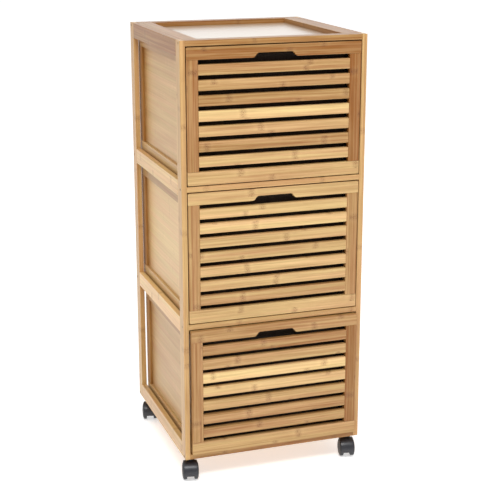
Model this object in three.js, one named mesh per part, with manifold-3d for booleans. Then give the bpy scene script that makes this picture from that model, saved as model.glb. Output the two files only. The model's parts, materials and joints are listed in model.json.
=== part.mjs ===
// Laundry sorter on wheels: an open bamboo cabinet with three slatted drawers on four twin-wheel casters.
// Millimetres, +Z up. X runs across the front, -Y is the front. The origin is on the floor, in the
// middle of the overall box.
import * as THREE from 'three';
import { mergeVertices } from 'three/addons/utils/BufferGeometryUtils.js';
import Module from 'manifold-3d';

const wasm = await Module();
wasm.setup();

// ---- Driving dimensions ----

// Cabinet
const WIDTH = 426;
const DEPTH = 424;
const FRAME_HEIGHT = 948;
const BOARD = 12; // thickness of every frame board
const STILE_WIDTH = 30;
const RAIL_HEIGHT = 35;
const CROSSBAR_DEPTH = 30;
const BASE_BAR_DEPTH = 46; // the bottom crossbars are wider, to hold the caster stems
const TOP_BOARD_WIDTH = 34;
const TOP_PANEL_THICKNESS = 5;
const TOP_PANEL_FIELD_RISE = 1; // the panel's field stands above its rebated edge
const TOP_PANEL_FIELD_GAP = 0.5; // between the field and the boards around it
const STOP_LIP_DEPTH = 17; // the lip behind each crossbar that the drawer front closes against
const STOP_LIP_DROP = 8;
const RUNNER_WIDTH = 14;
const RUNNER_HEIGHT = 14;
const BAYS = 3;

// Drawers
const FRONT_GAP_X = 2; // between the drawer front and each stile
const FRONT_GAP_Z = 2.5; // between the drawer front and the crossbars above and below
const DRAWER_LENGTH = 407; // front face to the back of the box
const FRONT_THICKNESS = 12;
const FRONT_STILE_WIDTH = 26;
const FRONT_TOP_RAIL_HEIGHT = 26.5;
const SLOT_HEIGHT = 10.2;
const SLAT_HEIGHT = 22.6;
const SLATS = 7;
const FRONT_CORNER_RADIUS = 3;
const BOX_GAP = 3; // between the drawer box and the side rails
const BOX_DROP = 11; // the box is this much lower than the front
const BOX_BOARD = 12;
const BOX_STRIP = 28; // the frame around each recessed side panel
const BOX_RECESS = 5.5;
const BOX_BOTTOM_RISE = 8;
const BOX_BOTTOM_THICKNESS = 5;
const RUNNER_CLEARANCE = 0.3;
const BOTTOM_DRAWER_AJAR = 9; // the bottom drawer stands open a little and off centre
const BOTTOM_DRAWER_OFFSET = 1;

// Hand hole in the bottom edge of each front's top rail
const HAND_HOLE_MOUTH = 96.5;
const HAND_HOLE_TOP = 81;
const HAND_HOLE_HEIGHT = 10.3;
const HAND_HOLE_ROUNDING = 4;

// Fabric liners
const LINER_CLEARANCE = 3;
const LINER_FRONT_CLEARANCE = 20; // room for fingers behind the hand hole
const LINER_THICKNESS = 2;
const LINER_LIFT = 0.5;
const LINER_TOP_DROP = 6;

// Casters
const CASTER_HEIGHT = 56; // floor to the underside of the cabinet
const CASTER_INSET_X = 18.5;
const CASTER_INSET_Y = 29;
const CASTER_TRAIL = 10; // the axle trails the swivel axis towards the front
const CASTER_YAW = THREE.MathUtils.degToRad(-12); // all four are left turned a little
const WHEEL_RADIUS = 21;
const WHEEL_INNER = 8.75; // inner face of each wheel from the caster's middle plane
const WHEEL_OUTER = 16.5; // outer edge of the tread
const DOME_OUTER = 19.5; // top of the domed outer face
const DOME_STEPS = 6;
const TREAD_ROUNDING = 1.2;
const AXLE_RADIUS = 3;
const AXLE_CLEARANCE = 0.1;
const HOOD_WIDTH = 31;
const HOOD_INNER_RADIUS = 22.2;
const HOOD_OUTER_RADIUS = 24;
const HOOD_START = THREE.MathUtils.degToRad(40); // measured at the axle from the back, over the top
const HOOD_END = THREE.MathUtils.degToRad(195);
const WEB_WIDTH = 15;
const HUB_RADIUS = 7;
const NECK_RADIUS = 8;
const COLLAR_RADIUS = 11;
const COLLAR_BOTTOM = 45;
const COLLAR_GAP = 0.6; // running gap under the cabinet
const STEM_RADIUS = 4;
const STEM_REACH = 10;
const STEM_CLEARANCE = 0.15;
const ROUND_STEPS = 32;
const ARC_STEPS = 24;

// ---- Places worked out from them ----

const LEFT = -WIDTH / 2;
const FRONT = -DEPTH / 2;
const BACK = DEPTH / 2;
const BASE = CASTER_HEIGHT;
const TOP = BASE + FRAME_HEIGHT;
const INNER_HALF = WIDTH / 2 - BOARD;
const BAY_PITCH = (FRAME_HEIGHT - BOARD) / BAYS;
const FRONT_WIDTH = 2 * (INNER_HALF - FRONT_GAP_X);
const FRONT_HEIGHT = BAY_PITCH - BOARD - 2 * FRONT_GAP_Z;
const SLAT_PANEL_HEIGHT = FRONT_HEIGHT - FRONT_TOP_RAIL_HEIGHT;
const SLAT_PITCH = SLOT_HEIGHT + SLAT_HEIGHT;
const BOX_HALF = INNER_HALF - BOX_GAP;
const BOX_HEIGHT = FRONT_HEIGHT - BOX_DROP;
const BOX_LENGTH = DRAWER_LENGTH - FRONT_THICKNESS;

// The four frame levels, from the top: the height of each crossbar's underside, and of each side rail.
const LEVEL_NAMES = ['top', 'upper', 'lower', 'bottom'];
const levels = LEVEL_NAMES.map((name, index) => {
  const crossbar = TOP - BOARD - index * BAY_PITCH;
  let rail = crossbar + BOARD / 2 - RAIL_HEIGHT / 2;
  if (name === 'top') {
    rail = TOP - RAIL_HEIGHT;
  }
  if (name === 'bottom') {
    rail = BASE;
  }
  return { name, crossbar, rail };
});

// ---- Materials ----

function finish(color, roughness) {
  return new THREE.MeshStandardMaterial({ color, roughness, metalness: 0 });
}

const cabinetBamboo = finish(0xd2a870, 0.45);
const drawerBamboo = finish(0xd9b178, 0.45);
const panelBamboo = finish(0xdcbf96, 0.5);
const linerFabric = finish(0x2b2a2c, 0.95);
const casterPlastic = finish(0x26262a, 0.4);
const wheelPlastic = finish(0x1b1b1e, 0.6);

// ---- Geometry helpers ----

const sorter = new THREE.Group();

function add(parent, name, geometry, material) {
  const mesh = new THREE.Mesh(geometry, material);
  mesh.name = name;
  parent.add(mesh);
  return mesh;
}

// A plain board between two opposite corners.
function boxGeometry(low, high) {
  const size = high.map((value, axis) => value - low[axis]);
  const geometry = new THREE.BoxGeometry(...size);
  geometry.translate(...low.map((value, axis) => value + size[axis] / 2));
  return geometry;
}

// The shape's X and Y become X and Z, and its thickness runs back from y = 0.
function extrudeBack(shape, thickness) {
  const geometry = new THREE.ExtrudeGeometry(shape, { depth: thickness, bevelEnabled: false, curveSegments: 6 });
  geometry.rotateX(Math.PI / 2);
  geometry.translate(0, thickness, 0);
  return geometry;
}

// The shape's X and Y become Y and Z, and its width is centred on x = 0.
function extrudeAcross(shape, width) {
  const settings = { depth: width, bevelEnabled: false, curveSegments: ARC_STEPS };
  const geometry = new THREE.ExtrudeGeometry(shape, settings);
  geometry.translate(0, 0, -width / 2);
  const across = new THREE.Vector3(1, 0, 0);
  const back = new THREE.Vector3(0, 1, 0);
  const up = new THREE.Vector3(0, 0, 1);
  geometry.applyMatrix4(new THREE.Matrix4().makeBasis(back, up, across));
  return geometry;
}

function cylinderUp(radius, bottom, top) {
  const geometry = new THREE.CylinderGeometry(radius, radius, top - bottom, ROUND_STEPS);
  geometry.rotateX(Math.PI / 2);
  geometry.translate(0, 0, (bottom + top) / 2);
  return geometry;
}

function cylinderAcross(radius, width) {
  const geometry = new THREE.CylinderGeometry(radius, radius, width, ROUND_STEPS);
  geometry.rotateZ(Math.PI / 2);
  return geometry;
}

function toSolid(geometry) {
  const bare = geometry.clone();
  bare.deleteAttribute('normal');
  bare.deleteAttribute('uv');
  const merged = mergeVertices(bare, 1e-4);
  const vertProperties = new Float32Array(merged.attributes.position.array);
  const triVerts = new Uint32Array(merged.index.array);
  return new wasm.Manifold(new wasm.Mesh({ numProp: 3, vertProperties, triVerts }));
}

function toGeometry(solid) {
  const mesh = solid.getMesh();
  const geometry = new THREE.BufferGeometry();
  geometry.setAttribute('position', new THREE.BufferAttribute(mesh.vertProperties, 3));
  geometry.setIndex(new THREE.BufferAttribute(mesh.triVerts, 1));
  geometry.computeVertexNormals();
  return geometry;
}

function joinSolids(geometries) {
  return geometries.slice(1).reduce((solid, piece) => solid.add(toSolid(piece)), toSolid(geometries[0]));
}

function cut(geometry, tools) {
  const result = tools.reduce((solid, tool) => solid.subtract(toSolid(tool)), toSolid(geometry));
  return toGeometry(result);
}

// ---- Cabinet ----

const SIDES = [
  { name: 'left', sign: -1 },
  { name: 'right', sign: 1 },
];
const ENDS = [
  { name: 'front', y: FRONT, inward: 1 },
  { name: 'rear', y: BACK, inward: -1 },
];

function span(start, length) {
  return [Math.min(start, start + length), Math.max(start, start + length)];
}

function addBoard(name, xs, ys, zs, material) {
  return add(sorter, name, boxGeometry([xs[0], ys[0], zs[0]], [xs[1], ys[1], zs[1]]), material);
}

function addStiles() {
  for (const end of ENDS) {
    for (const side of SIDES) {
      const xs = span(side.sign * (WIDTH / 2), -side.sign * BOARD);
      const ys = span(end.y, end.inward * STILE_WIDTH);
      addBoard(`${end.name}_${side.name}_stile`, xs, ys, [BASE, TOP], cabinetBamboo);
    }
  }
}

function addSideRails() {
  for (const side of SIDES) {
    const xs = span(side.sign * (WIDTH / 2), -side.sign * BOARD);
    const ys = [FRONT + STILE_WIDTH, BACK - STILE_WIDTH];
    for (const level of levels) {
      addBoard(`${side.name}_${level.name}_rail`, xs, ys, span(level.rail, RAIL_HEIGHT), cabinetBamboo);
    }
  }
}

// A flat crossbar with a lip under its back edge, which stops the drawer front.
function lippedCrossbar(bottom) {
  const shape = new THREE.Shape();
  const lipStart = FRONT + FRONT_THICKNESS + 1;
  shape.moveTo(FRONT, bottom);
  shape.lineTo(lipStart, bottom);
  shape.lineTo(lipStart, bottom - STOP_LIP_DROP);
  shape.lineTo(lipStart + STOP_LIP_DEPTH, bottom - STOP_LIP_DROP);
  shape.lineTo(lipStart + STOP_LIP_DEPTH, bottom + BOARD);
  shape.lineTo(FRONT, bottom + BOARD);
  shape.closePath();
  return extrudeAcross(shape, 2 * INNER_HALF);
}

// A bottom crossbar is a plain board with a bore near each end for a caster stem.
function boredCrossbar(end) {
  const ys = span(end.y, end.inward * BASE_BAR_DEPTH);
  const board = boxGeometry([-INNER_HALF, ys[0], BASE], [INNER_HALF, ys[1], BASE + BOARD]);
  const bores = SIDES.map((side) => {
    const bore = cylinderUp(STEM_RADIUS + STEM_CLEARANCE, BASE - 1, BASE + BOARD + 1);
    bore.translate(side.sign * (WIDTH / 2 - CASTER_INSET_X), end.y + end.inward * CASTER_INSET_Y, 0);
    return bore;
  });
  return cut(board, bores);
}

function addCrossbars() {
  for (const level of levels) {
    for (const end of ENDS) {
      const name = `${end.name}_${level.name}_crossbar`;
      if (level.name === 'bottom') {
        add(sorter, name, boredCrossbar(end), cabinetBamboo);
      } else if (end.name === 'front') {
        add(sorter, name, lippedCrossbar(level.crossbar), cabinetBamboo);
      } else {
        const ys = span(end.y, end.inward * CROSSBAR_DEPTH);
        addBoard(name, [-INNER_HALF, INNER_HALF], ys, span(level.crossbar, BOARD), cabinetBamboo);
      }
    }
  }
}

// The panel's rebated edge lies under the boards, and its field fills the opening between them.
function topPanel() {
  const top = TOP - BOARD;
  const edgeY = BACK - CROSSBAR_DEPTH;
  const fieldX = INNER_HALF - TOP_BOARD_WIDTH - TOP_PANEL_FIELD_GAP;
  const fieldY = edgeY - TOP_PANEL_FIELD_GAP;
  const low = top - TOP_PANEL_THICKNESS;
  const edge = boxGeometry([-INNER_HALF, -edgeY, low], [INNER_HALF, edgeY, top]);
  const field = boxGeometry([-fieldX, -fieldY, low], [fieldX, fieldY, top + TOP_PANEL_FIELD_RISE]);
  return toGeometry(joinSolids([edge, field]));
}

// The top is a shallow tray: a thin panel fixed under a frame of flat boards.
function addTop() {
  const ys = [FRONT + CROSSBAR_DEPTH, BACK - CROSSBAR_DEPTH];
  for (const side of SIDES) {
    const xs = span(side.sign * INNER_HALF, -side.sign * TOP_BOARD_WIDTH);
    addBoard(`top_${side.name}_board`, xs, ys, [TOP - BOARD, TOP], cabinetBamboo);
  }
  add(sorter, 'top_panel', topPanel(), panelBamboo);
}

// A hardwood strip on each side carries the drawer's side.
function addRunners(drawerName, floorLevel) {
  const runnerTop = floorLevel + FRONT_GAP_Z - RUNNER_CLEARANCE;
  for (const side of SIDES) {
    const xs = span(side.sign * INNER_HALF, -side.sign * RUNNER_WIDTH);
    const ys = [FRONT + BASE_BAR_DEPTH, BACK - BASE_BAR_DEPTH];
    addBoard(`${drawerName}_${side.name}_runner`, xs, ys, span(runnerTop, -RUNNER_HEIGHT), cabinetBamboo);
  }
}

// ---- Drawers, each in its own group: x centred, y = 0 at the front face, z = 0 at the bottom edge ----

// The top rail has rounded top corners and the hand hole in its bottom edge.
function frontTopRail() {
  const half = FRONT_WIDTH / 2;
  const radius = FRONT_CORNER_RADIUS;
  const bottom = FRONT_HEIGHT - FRONT_TOP_RAIL_HEIGHT;
  const holeTop = bottom + HAND_HOLE_HEIGHT;
  const mouth = HAND_HOLE_MOUTH / 2;
  const crown = HAND_HOLE_TOP / 2;
  const ease = HAND_HOLE_ROUNDING;
  const slope = (mouth - crown) * (ease / HAND_HOLE_HEIGHT);
  const shape = new THREE.Shape();
  shape.moveTo(-half, bottom);
  shape.lineTo(-mouth - ease, bottom);
  shape.quadraticCurveTo(-mouth, bottom, -mouth + slope, bottom + ease);
  shape.lineTo(-crown - slope, holeTop - ease);
  shape.quadraticCurveTo(-crown, holeTop, -crown + ease, holeTop);
  shape.lineTo(crown - ease, holeTop);
  shape.quadraticCurveTo(crown, holeTop, crown + slope, holeTop - ease);
  shape.lineTo(mouth - slope, bottom + ease);
  shape.quadraticCurveTo(mouth, bottom, mouth + ease, bottom);
  shape.lineTo(half, bottom);
  shape.lineTo(half, FRONT_HEIGHT - radius);
  shape.quadraticCurveTo(half, FRONT_HEIGHT, half - radius, FRONT_HEIGHT);
  shape.lineTo(-half + radius, FRONT_HEIGHT);
  shape.quadraticCurveTo(-half, FRONT_HEIGHT, -half, FRONT_HEIGHT - radius);
  shape.closePath();
  return extrudeBack(shape, FRONT_THICKNESS);
}

// Two stiles, the bottom rail and the slats, glued up into one panel. The first slot is open at the top.
function slatPanel() {
  const half = FRONT_WIDTH / 2;
  const slotHalf = half - FRONT_STILE_WIDTH;
  const radius = FRONT_CORNER_RADIUS;
  const top = SLAT_PANEL_HEIGHT;
  const shape = new THREE.Shape();
  shape.moveTo(-half + radius, 0);
  shape.lineTo(half - radius, 0);
  shape.quadraticCurveTo(half, 0, half, radius);
  shape.lineTo(half, top);
  shape.lineTo(slotHalf, top);
  shape.lineTo(slotHalf, top - SLOT_HEIGHT);
  shape.lineTo(-slotHalf, top - SLOT_HEIGHT);
  shape.lineTo(-slotHalf, top);
  shape.lineTo(-half, top);
  shape.lineTo(-half, radius);
  shape.quadraticCurveTo(-half, 0, -half + radius, 0);
  for (let slot = 1; slot <= SLATS; slot += 1) {
    const slotTop = top - slot * SLAT_PITCH;
    const hole = new THREE.Path();
    hole.moveTo(-slotHalf, slotTop - SLOT_HEIGHT);
    hole.lineTo(slotHalf, slotTop - SLOT_HEIGHT);
    hole.lineTo(slotHalf, slotTop);
    hole.lineTo(-slotHalf, slotTop);
    hole.closePath();
    shape.holes.push(hole);
  }
  return extrudeBack(shape, FRONT_THICKNESS);
}

// A framed side whose panel is recessed on the outer face.
function drawerSide(sign) {
  const xs = span(sign * BOX_HALF, -sign * BOX_BOARD);
  const recess = span(sign * (BOX_HALF + 1), -sign * (BOX_RECESS + 1));
  const side = boxGeometry([xs[0], FRONT_THICKNESS, 0], [xs[1], DRAWER_LENGTH, BOX_HEIGHT]);
  const pocket = boxGeometry(
    [recess[0], FRONT_THICKNESS + BOX_STRIP, BOX_STRIP],
    [recess[1], DRAWER_LENGTH - BOX_STRIP, BOX_HEIGHT - BOX_STRIP],
  );
  return cut(side, [pocket]);
}

function liner() {
  const half = BOX_HALF - BOX_BOARD - LINER_CLEARANCE;
  const front = FRONT_THICKNESS + LINER_FRONT_CLEARANCE;
  const back = DRAWER_LENGTH - BOX_BOARD - LINER_CLEARANCE;
  const bottom = BOX_BOTTOM_RISE + BOX_BOTTOM_THICKNESS + LINER_LIFT;
  const top = BOX_HEIGHT - LINER_TOP_DROP;
  const wall = LINER_THICKNESS;
  const outside = boxGeometry([-half, front, bottom], [half, back, top]);
  const inside = boxGeometry([-half + wall, front + wall, bottom + wall], [half - wall, back - wall, top + 1]);
  return cut(outside, [inside]);
}

function addDrawer(name, offsetX, y, z) {
  const drawer = new THREE.Group();
  const boxInner = BOX_HALF - BOX_BOARD;
  const backStart = DRAWER_LENGTH - BOX_BOARD;
  const back = boxGeometry([-boxInner, backStart, 0], [boxInner, DRAWER_LENGTH, BOX_HEIGHT]);
  const bottomTop = BOX_BOTTOM_RISE + BOX_BOTTOM_THICKNESS;
  const bottom = boxGeometry([-boxInner, FRONT_THICKNESS, BOX_BOTTOM_RISE], [boxInner, backStart, bottomTop]);
  add(drawer, `${name}_front_top_rail`, frontTopRail(), drawerBamboo);
  add(drawer, `${name}_slat_panel`, slatPanel(), drawerBamboo);
  for (const side of SIDES) {
    add(drawer, `${name}_${side.name}_side`, drawerSide(side.sign), panelBamboo);
  }
  add(drawer, `${name}_back`, back, panelBamboo);
  add(drawer, `${name}_bottom`, bottom, panelBamboo);
  add(drawer, `${name}_liner`, liner(), linerFabric);
  drawer.position.set(offsetX, y, z);
  sorter.add(drawer);
}

function addDrawers() {
  const names = ['top_drawer', 'middle_drawer', 'bottom_drawer'];
  names.forEach((name, index) => {
    const floorLevel = levels[index + 1].crossbar + BOARD;
    const ajar = name === 'bottom_drawer';
    addRunners(name, floorLevel);
    addDrawer(
      name,
      ajar ? BOTTOM_DRAWER_OFFSET : 0,
      ajar ? FRONT - BOTTOM_DRAWER_AJAR : FRONT,
      floorLevel + FRONT_GAP_Z,
    );
  });
}

// ---- Casters, each in its own group: the swivel axis is x = y = 0, and the floor is z = 0 ----

function sector(radius) {
  const shape = new THREE.Shape();
  shape.moveTo(0, 0);
  shape.absarc(0, 0, radius, HOOD_START, HOOD_END, false);
  shape.closePath();
  return shape;
}

// The hood wraps the wheels from behind, over the top and down the front. A web between the wheels
// carries the axle, and a neck, collar and stem rise from it on the swivel axis.
function casterHousing() {
  const hoodShape = new THREE.Shape();
  hoodShape.absarc(0, 0, HOOD_OUTER_RADIUS, HOOD_START, HOOD_END, false);
  hoodShape.absarc(0, 0, HOOD_INNER_RADIUS, HOOD_END, HOOD_START, true);
  hoodShape.closePath();
  const hubShape = new THREE.Shape();
  hubShape.absarc(0, 0, HUB_RADIUS, 0, 2 * Math.PI, false);
  const webRadius = (HOOD_INNER_RADIUS + HOOD_OUTER_RADIUS) / 2;
  const round = [
    extrudeAcross(hoodShape, HOOD_WIDTH),
    extrudeAcross(sector(webRadius), WEB_WIDTH),
    extrudeAcross(hubShape, WEB_WIDTH),
  ];
  round.forEach((geometry) => geometry.translate(0, -CASTER_TRAIL, WHEEL_RADIUS));
  const collarTop = CASTER_HEIGHT - COLLAR_GAP;
  const pieces = [
    ...round,
    cylinderUp(NECK_RADIUS, WHEEL_RADIUS + 10, collarTop - 1),
    cylinderUp(COLLAR_RADIUS, COLLAR_BOTTOM, collarTop),
    cylinderUp(STEM_RADIUS, collarTop - 1, CASTER_HEIGHT + STEM_REACH),
  ];
  const bore = cylinderAcross(AXLE_RADIUS + AXLE_CLEARANCE, 2 * HOOD_WIDTH);
  bore.translate(0, -CASTER_TRAIL, WHEEL_RADIUS);
  return toGeometry(joinSolids(pieces).subtract(toSolid(bore)));
}

// Two wheels with domed outer faces on one axle, turned as one profile from end to end.
function casterWheels() {
  const shoulder = WHEEL_RADIUS - TREAD_ROUNDING;
  const half = [
    [AXLE_RADIUS, WHEEL_INNER],
    [shoulder, WHEEL_INNER],
    [WHEEL_RADIUS, WHEEL_INNER + TREAD_ROUNDING],
    [WHEEL_RADIUS, WHEEL_OUTER - TREAD_ROUNDING],
  ];
  for (let step = 0; step <= DOME_STEPS; step += 1) {
    const angle = (step / DOME_STEPS) * (Math.PI / 2);
    half.push([shoulder * Math.cos(angle), WHEEL_OUTER + (DOME_OUTER - WHEEL_OUTER) * Math.sin(angle)]);
  }
  half[half.length - 1][0] = 0;
  const lower = half.map(([radius, along]) => [radius, -along]).reverse();
  const profile = [...lower, ...half].map(([radius, along]) => new THREE.Vector2(radius, along));
  const geometry = new THREE.LatheGeometry(profile, ROUND_STEPS);
  geometry.rotateZ(-Math.PI / 2);
  geometry.translate(0, -CASTER_TRAIL, WHEEL_RADIUS);
  return geometry;
}

function addCasters() {
  for (const end of ENDS) {
    for (const side of SIDES) {
      const caster = new THREE.Group();
      add(caster, `${end.name}_${side.name}_caster_housing`, casterHousing(), casterPlastic);
      add(caster, `${end.name}_${side.name}_caster_wheels`, casterWheels(), wheelPlastic);
      caster.rotation.z = CASTER_YAW;
      const x = side.sign * (WIDTH / 2 - CASTER_INSET_X);
      caster.position.set(x, end.y + end.inward * CASTER_INSET_Y, 0);
      sorter.add(caster);
    }
  }
}

addStiles();
addSideRails();
addCrossbars();
addTop();
addDrawers();
addCasters();

// The turned casters reach a little past the cabinet, so the whole is centred by its overall box.
const overall = new THREE.Box3().setFromObject(sorter, true);
const middle = overall.getCenter(new THREE.Vector3());
sorter.position.set(-middle.x, -middle.y, -overall.min.z);

export default sorter;
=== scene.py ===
"""The looks of the laundry sorter: lacquered bamboo boards, fabric liners and nylon casters.

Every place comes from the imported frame, in metres. Each board is a rounded solid of its own, and
carries the direction of its grain and its shade as mesh attributes, which the bamboo materials read.
"""

import json
import math
import random

import bmesh
import bpy
from mathutils import Matrix, Vector, noise


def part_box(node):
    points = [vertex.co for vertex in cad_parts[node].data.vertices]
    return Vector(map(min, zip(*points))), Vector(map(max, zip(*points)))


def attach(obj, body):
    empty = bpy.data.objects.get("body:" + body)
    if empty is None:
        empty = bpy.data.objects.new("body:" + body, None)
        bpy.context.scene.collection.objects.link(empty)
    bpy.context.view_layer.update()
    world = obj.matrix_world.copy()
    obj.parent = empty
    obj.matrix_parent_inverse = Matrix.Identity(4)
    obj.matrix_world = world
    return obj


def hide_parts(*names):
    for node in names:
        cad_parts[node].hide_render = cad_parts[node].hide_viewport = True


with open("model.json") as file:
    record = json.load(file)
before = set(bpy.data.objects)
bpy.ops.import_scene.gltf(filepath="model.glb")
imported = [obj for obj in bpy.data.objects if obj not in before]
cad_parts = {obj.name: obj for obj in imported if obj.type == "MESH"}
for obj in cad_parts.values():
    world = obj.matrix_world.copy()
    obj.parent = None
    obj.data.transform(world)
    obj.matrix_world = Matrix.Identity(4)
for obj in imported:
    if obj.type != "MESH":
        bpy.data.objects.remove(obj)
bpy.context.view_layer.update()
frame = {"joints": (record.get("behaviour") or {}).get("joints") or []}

MM = 0.001
X, Y, Z = 0, 1, 2

# Cabinet boards
CABINET_EDGE = 1.0 * MM  # how far every edge is rounded over
LIP_HEIGHT = 8 * MM  # the lip glued under the front crossbars
LIP_DEPTH = 17 * MM
CROSSBAR_HEIGHT = 12 * MM
PANEL_EDGE_WIDTH = 34.5 * MM  # the top panel's rebated edge, under the side boards
PANEL_EDGE_DEPTH = 0.5 * MM  # and under the crossbars
PANEL_FIELD_RISE = 1 * MM

# Screws through the stiles into the crossbars
SCREW_HOLE_RADIUS = 3.1 * MM
SCREW_HOLE_DEPTH = 2.2 * MM
SCREW_HEAD_RADIUS = 2.8 * MM
SCREW_FROM_EDGE = 10.5 * MM
SCREW_HEAD_PROFILE = (  # each ring's radius as a share of the head's, and its depth in millimetres
    (1.0, 1.6),
    (1.0, 0.75),
    (0.93, 0.62),
    (0.62, 0.58),
    (0.5, 0.57),
)
CROSS_DEPTHS = (0.57, 1.3)  # the top and bottom of the cross recess, in millimetres

# The bottom crossbars' bores for the caster stems
STEM_BORE_RADIUS = 4.3 * MM

# Drawer fronts
FRONT_EDGE = 1.2 * MM
FRONT_CORNER = 3 * MM
FRONT_STILE = 26 * MM
SLOT = 10.2 * MM
SLAT = 22.6 * MM
SLATS = 7
HAND_HOLE_MOUTH = 96.5 * MM
HAND_HOLE_TOP = 81 * MM
HAND_HOLE_HEIGHT = 10.3 * MM
HAND_HOLE_ROUNDING = 4 * MM

# Drawer boxes
BOX_EDGE = 0.8 * MM
BOX_STRIP = 28 * MM
BOX_RECESS = 5.5 * MM

DRAWERS = ("top_drawer", "middle_drawer", "bottom_drawer")
SIDES = ("left", "right")
ENDS = ("front", "rear")
LEVELS = ("top", "upper", "lower", "bottom")

# How pale each board is, from 0, deep tan, to 1, straw.
SLAT_SHADES = {
    "top_drawer": (0.2, 0.3, 0.2, 0.75, 0.45, 0.25, 0.6),
    "middle_drawer": (0.6, 0.75, 0.6, 0.4, 0.6, 0.5, 0.35),
    "bottom_drawer": (0.15, 0.35, 0.95, 0.7, 0.3, 0.25, 0.2),
}
TOP_RAIL_SHADES = {"top_drawer": -0.05, "middle_drawer": 0.5, "bottom_drawer": 0.2}
BOTTOM_RAIL_SHADES = {"top_drawer": 0.5, "middle_drawer": 0.5, "bottom_drawer": 0.35}
FRONT_STILE_SHADES = {
    "top_drawer": {"left": 0.1, "right": -0.15},
    "middle_drawer": {"left": 0.12, "right": 0.18},
    "bottom_drawer": {"left": 0.1, "right": 0.0},
}
SIDE_PANEL_SHADES = {"top_drawer": 0.7, "middle_drawer": 1.1, "bottom_drawer": 0.55}
SIDE_RAIL_SHADES = {"top": 0.0, "upper": 0.9, "lower": 1.05, "bottom": 0.6}
CROSSBAR_SHADES = {"top": 0.0, "upper": 0.5, "lower": 0.55, "bottom": 0.1}
TOP_BOARD_SHADE = 0.1
# The rear strip is set deep as painted shade by the rear stile, and the bottom strip pale as painted light.
STRIP_SHADES_WITH_PAINTED_LIGHT = {"top_strip": 0.2, "bottom_strip": 0.8, "front_strip": 0.5, "rear_strip": 0.0}
STILE_SHADE = 0.55
RUNNER_SHADE = 0.35
TOP_PANEL_SHADE = 0.8
BOX_SHADE = 0.6
REAR_PAINTED_SHADE = (  # painted shade by the rear stile: distance from a side panel's rear end, and the share of its shade there
    (0, 0.0),
    (12 * MM, 0.25),
    (30 * MM, 0.75),
    (60 * MM, 1.0),
)


# ---- Mesh helpers ----


def circle(steps):
    """Angles all the way round."""
    return [math.tau * i / steps for i in range(steps)]


def spread(start, end, steps):
    """Values from start to end, in even steps."""
    return [start + (end - start) * step / steps for step in range(steps + 1)]


def to_object(name, bm, material):
    """A new object from a bmesh, linked to the scene."""
    bmesh.ops.recalc_face_normals(bm, faces=bm.faces)
    mesh = bpy.data.meshes.new(name)
    bm.to_mesh(mesh)
    bm.free()
    mesh.materials.append(material)
    obj = bpy.data.objects.new(name, mesh)
    bpy.context.scene.collection.objects.link(obj)
    return obj


def soften(mesh, limit=math.radians(50)):
    """Rounded edges shade smoothly and flat faces stay flat: each corner's normal is averaged by area."""
    faces_at = [[] for _ in mesh.vertices]
    weighted = []
    for face in mesh.polygons:
        weighted.append((face.normal.copy(), face.normal * face.area))
        for vertex in face.vertices:
            faces_at[vertex].append(face.index)
    nearness = math.cos(limit)
    normals = []
    for face in mesh.polygons:
        own = weighted[face.index][0]
        for vertex in face.vertices:
            total = Vector()
            for other in faces_at[vertex]:
                direction, share = weighted[other]
                if own.dot(direction) > nearness:
                    total += share
            normals.append(total.normalized())
    mesh.polygons.foreach_set("use_smooth", [True] * len(mesh.polygons))
    mesh.normals_split_custom_set(normals)


def round_edges(bm, width, segments=3, sharper_than=math.radians(30)):
    sharp = [edge for edge in bm.edges if edge.calc_face_angle(0) > sharper_than]
    bmesh.ops.bevel(
        bm, geom=sharp, offset=width, segments=segments, profile=0.5, affect="EDGES", clamp_overlap=True
    )


def add_box(bm, low, high):
    low = Vector(low)
    high = Vector(high)
    made = bmesh.ops.create_cube(bm, size=1)
    place = Matrix.LocRotScale((low + high) / 2, None, high - low)
    bmesh.ops.transform(bm, matrix=place, verts=made["verts"])


def skin(bm, rings, join_ends=False):
    """Skins closed rings of points, all with the same number of points, and returns their vertices."""
    loops = [[bm.verts.new(point) for point in ring] for ring in rings]
    pairs = list(zip(loops, loops[1:]))
    if join_ends:
        pairs.append((loops[-1], loops[0]))
    for lower, upper in pairs:
        for i in range(len(lower)):
            j = (i + 1) % len(lower)
            bm.faces.new((lower[i], lower[j], upper[j], upper[i]))
    return loops


def add_rings(bm, rings):
    """A solid skinned over closed rings of points, with a flat face at each end."""
    loops = skin(bm, rings)
    bm.faces.new(loops[0][::-1])
    bm.faces.new(loops[-1])


def rounded(corners, steps=5):
    """An outline from (x, z, rounding) corners, with each rounding drawn as a quadratic curve."""
    outline = []
    for i, (x, z, reach) in enumerate(corners):
        here = Vector((x, z))
        if reach == 0:
            outline.append(here)
            continue
        before = Vector(corners[i - 1][:2])
        after = Vector(corners[(i + 1) % len(corners)][:2])
        start = here + (before - here).normalized() * reach
        end = here + (after - here).normalized() * reach
        for step in range(steps + 1):
            t = step / steps
            outline.append(start * (1 - t) ** 2 + here * 2 * t * (1 - t) + end * t * t)
    return outline


def add_slab(bm, outline, front, back):
    """The outline in x and z, made solid from y = front to y = back."""
    rings = [[(point.x, y, point.y) for point in outline] for y in (front, back)]
    add_rings(bm, rings)


def set_grain(obj, direction, shade):
    """Writes where each point lies along, across and into the board, from a random place in the bamboo."""
    mesh = obj.data
    size = []
    for axis in range(3):
        span = [vertex.co[axis] for vertex in mesh.vertices]
        size.append(max(span) - min(span))
    others = sorted((axis for axis in range(3) if axis != direction), key=lambda axis: -size[axis])
    order = (direction, others[0], others[1])
    rng = random.Random(obj.name)
    start = (rng.uniform(0, 4), rng.uniform(0, 1), rng.uniform(0, 1))
    mesh.attributes.new("grain", "FLOAT_VECTOR", "POINT")
    mesh.attributes.new("shade", "FLOAT", "POINT")
    places = [vertex.co[axis] + start[i] for vertex in mesh.vertices for i, axis in enumerate(order)]
    mesh.attributes["grain"].data.foreach_set("vector", places)
    mesh.attributes["shade"].data.foreach_set("value", [shade] * len(mesh.vertices))


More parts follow.
